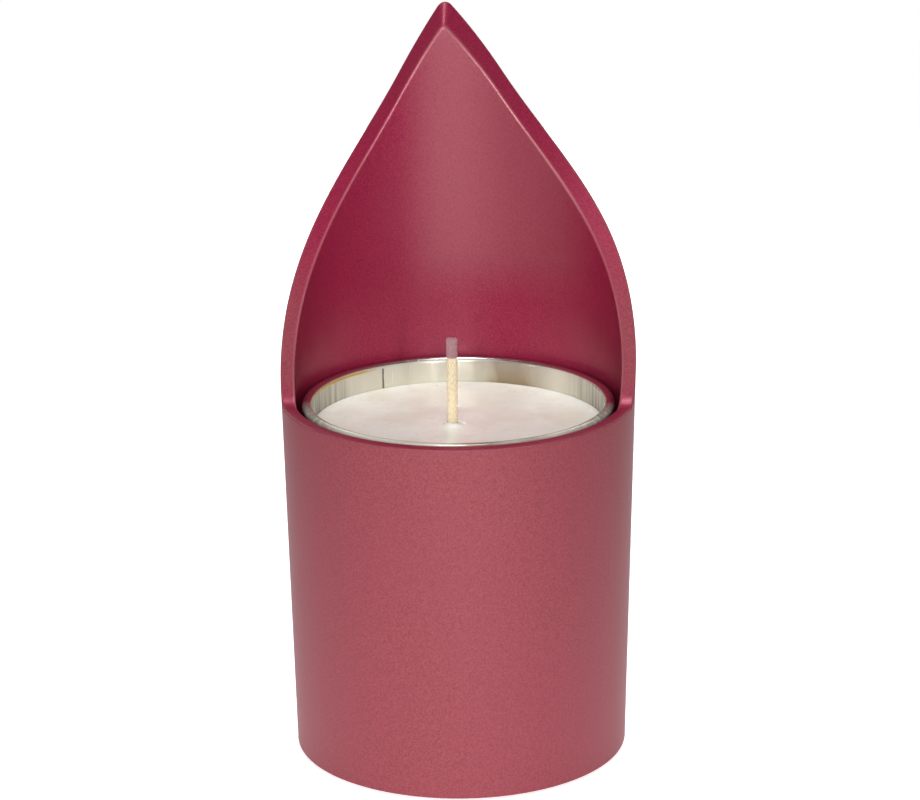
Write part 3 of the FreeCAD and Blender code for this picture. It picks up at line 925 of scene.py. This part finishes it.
def point_at(item, place, aim):
    """Stand a light or camera at a place, looking at its aim."""
    sight = Vector(aim) - Vector(place)
    item.location = place
    item.rotation_mode = "QUATERNION"
    item.rotation_quaternion = sight.to_track_quat("-Z", "Y")


def make_light(name, place, size, power):
    """A soft rectangular light aimed at the middle of the lamp."""
    data = bpy.data.lights.new(name, "AREA")
    data.shape = "RECTANGLE"
    data.size, data.size_y = size
    data.energy = power
    point_at(add_object(name, data), place, LIGHT_AIM)


def make_world():
    """A dim even room, which the camera itself sees as white."""
    world = bpy.data.worlds.new("soft_room")
    world.use_nodes = True
    tree = world.node_tree
    room = tree.nodes["Background"]
    room.inputs["Color"].default_value = (1, 1, 1, 1)
    room.inputs["Strength"].default_value = ROOM_LIGHT
    white = add_node(tree, "ShaderNodeBackground", color=(1, 1, 1, 1))
    rays = tree.nodes.new("ShaderNodeLightPath")
    choice = tree.nodes.new("ShaderNodeMixShader")
    tree.links.new(rays.outputs["Is Camera Ray"], choice.inputs["Fac"])
    tree.links.new(room.outputs["Background"], choice.inputs[1])
    tree.links.new(white.outputs["Background"], choice.inputs[2])
    tree.links.new(choice.outputs["Shader"], tree.nodes["World Output"].inputs["Surface"])
    bpy.context.scene.world = world


def make_lights():
    """A key from the front, soft light from above and behind, and two strips for the sides."""
    make_light("overhead_soft", (0, 0, 1.6), (0.5, 0.5), 7)
    make_light("top_front", (0, -1.5, 1.7), (2.2, 1.6), 8)
    make_light("front_key", (0.0, -1.7, 0.5), (0.6, 0.6), 21)
    make_light("right_strip", (0.48, -1.2, 0.3), (0.08, 0.4), 2.8)
    make_light("left_strip", (-1.05, -0.68, 0.3), (0.16, 0.5), 1.6)
    make_light("back_fill", (0, 1.7, 0.9), (1.5, 1.0), 26)
    make_snoot()


def make_snoot():
    """A narrow spot straight down on the candle."""
    snoot = bpy.data.lights.new("candle_snoot", "SPOT")
    snoot.energy = 17
    snoot.shadow_soft_size = 0.05
    snoot.spot_size = math.radians(3.4)
    snoot.spot_blend = 0.3
    add_object("candle_snoot", snoot).location = (0, 0, 1.2)


def make_camera():
    """The camera of the photograph: nearly level, a little above, and turned by a hair."""
    data = bpy.data.cameras.new("photo_camera")
    data.lens = CAMERA_LENS
    data.sensor_width = 36
    data.shift_x, data.shift_y = CAMERA_SHIFT
    camera = add_object("photo_camera", data)
    point_at(camera, CAMERA_PLACE, CAMERA_TARGET)
    roll = Matrix.Rotation(CAMERA_ROLL, 4, "Z").to_quaternion()
    camera.rotation_quaternion = camera.rotation_quaternion @ roll
    bpy.context.scene.camera = camera


def main():
    bpy.context.scene.view_settings.view_transform = "Standard"
    make_camera()
    make_floor()
    make_world()
    make_lights()
    red = red_metal()
    tin = tinplate()
    rubber = grained_finish("seal_rubber", srgb(140, 136, 124), srgb(170, 166, 152), 0, 0.6, 700)
    steel = grained_finish(
        "tab_steel", (0.5, 0.5, 0.51, 1), (0.7, 0.7, 0.7, 1), 1, 0.3, 900, (1, 0.05, 1)
    )
    paper = grained_finish("core_paper", srgb(214, 208, 190), srgb(240, 236, 222), 0, 0.8, 4000)
    make_holder_tube(red)
    make_felt_pad(felt())
    make_tin_shell(tin)
    make_wax(wax_finish())
    make_wick(wick_cotton())
    finish_cad_node("base_disc", red, 0.1 * MM)
    finish_cad_node("tin_end", tin, 0.06 * MM)
    finish_cad_node("seam_compound", rubber, 0.06 * MM)
    finish_cad_node("wick_tab", steel, 0.04 * MM)
    finish_cad_node("wick_core", paper, 0.05 * MM)


main()
